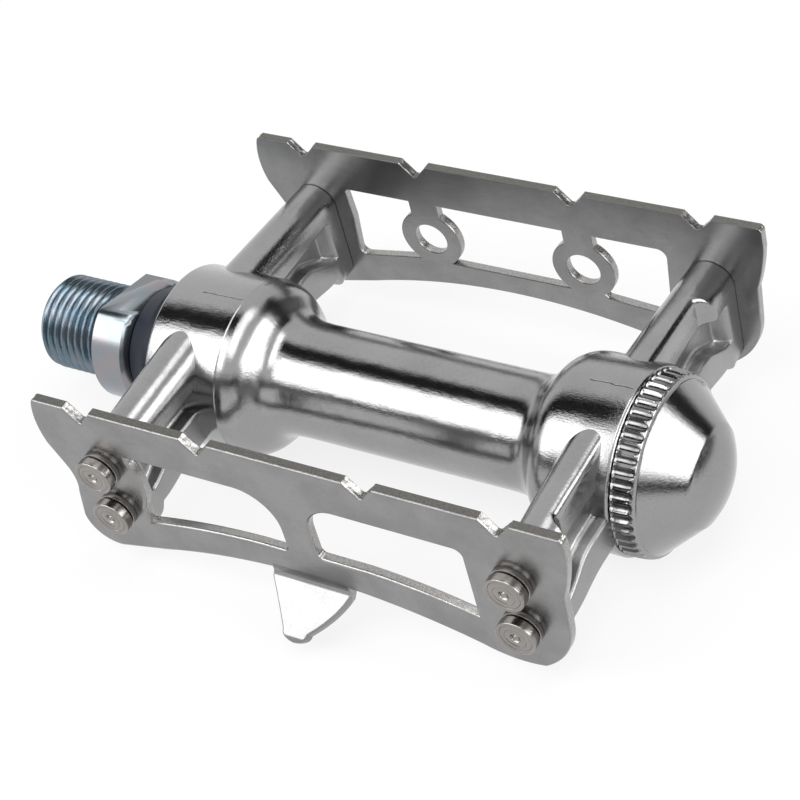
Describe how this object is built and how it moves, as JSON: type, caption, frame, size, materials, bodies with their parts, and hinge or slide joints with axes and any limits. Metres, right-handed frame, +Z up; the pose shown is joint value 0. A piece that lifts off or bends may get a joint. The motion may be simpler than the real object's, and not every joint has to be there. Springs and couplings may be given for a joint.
{
  "type": "track pedal",
  "caption": "Bicycle track pedal: cast body on a threaded spindle, with two toothed cage plates riveted to its arms, a toe-clip side, loose-ball bearings and a fluted dust cap.",
  "frame": {"origin": "on the spindle axis, at the collar face that seats on the crank arm", "axes": "+X along the spindle, from the crank to the dust cap; +Y towards the front cage plate, which takes the toe clip; +Z up, the way the toothed edges point"},
  "size_m": [0.1097, 0.0695, 0.0305],
  "materials": {
    "cast_body": "polished casting",
    "cage": "satin",
    "rivet": "turned",
    "cap": "polished",
    "zinc_steel": "bright zinc",
    "bearing_steel": "ground",
    "seal": "dull"
  },
  "bodies": {
    "spindle_group": {"spindle": "zinc_steel", "outer_cone": "bearing_steel", "lock_washer": "zinc_steel", "lock_nut": "zinc_steel"},
    "pedal_group": {"pedal_body": "cast_body", "rear_cage_plate": "cage", "front_cage_plate": "cage", "cage_rivets": "rivet", "dust_cap": "cap", "dust_seal": "seal", "inner_bearing_cup": "bearing_steel", "outer_bearing_cup": "bearing_steel"},
    "inner_ball_ring": {"inner_ball_01": "bearing_steel", "inner_ball_02": "bearing_steel", "inner_ball_03": "bearing_steel", "inner_ball_04": "bearing_steel", "inner_ball_05": "bearing_steel", "inner_ball_06": "bearing_steel", "inner_ball_07": "bearing_steel", "inner_ball_08": "bearing_steel", "inner_ball_09": "bearing_steel", "inner_ball_10": "bearing_steel", "inner_ball_11": "bearing_steel", "inner_ball_12": "bearing_steel"},
    "outer_ball_ring": {"outer_ball_01": "bearing_steel", "outer_ball_02": "bearing_steel", "outer_ball_03": "bearing_steel", "outer_ball_04": "bearing_steel", "outer_ball_05": "bearing_steel", "outer_ball_06": "bearing_steel", "outer_ball_07": "bearing_steel", "outer_ball_08": "bearing_steel", "outer_ball_09": "bearing_steel", "outer_ball_10": "bearing_steel", "outer_ball_11": "bearing_steel"}
  },
  "joints": [
    {"name": "body_spin", "type": "hinge", "parent": "spindle_group", "child": "pedal_group", "pos_m": [0, 0, 0], "axis": [1, 0, 0], "continuous": true},
    {"name": "inner_ring_turn", "type": "hinge", "parent": "spindle_group", "child": "inner_ball_ring", "pos_m": [0, 0, 0], "axis": [1, 0, 0], "continuous": true},
    {"name": "outer_ring_turn", "type": "hinge", "parent": "spindle_group", "child": "outer_ball_ring", "pos_m": [0, 0, 0], "axis": [1, 0, 0], "continuous": true}
  ],
  "couplings": [
    {"joint": "inner_ring_turn", "follows": "body_spin", "ratio": 0.578},
    {"joint": "outer_ring_turn", "follows": "body_spin", "ratio": 0.59}
  ]
}
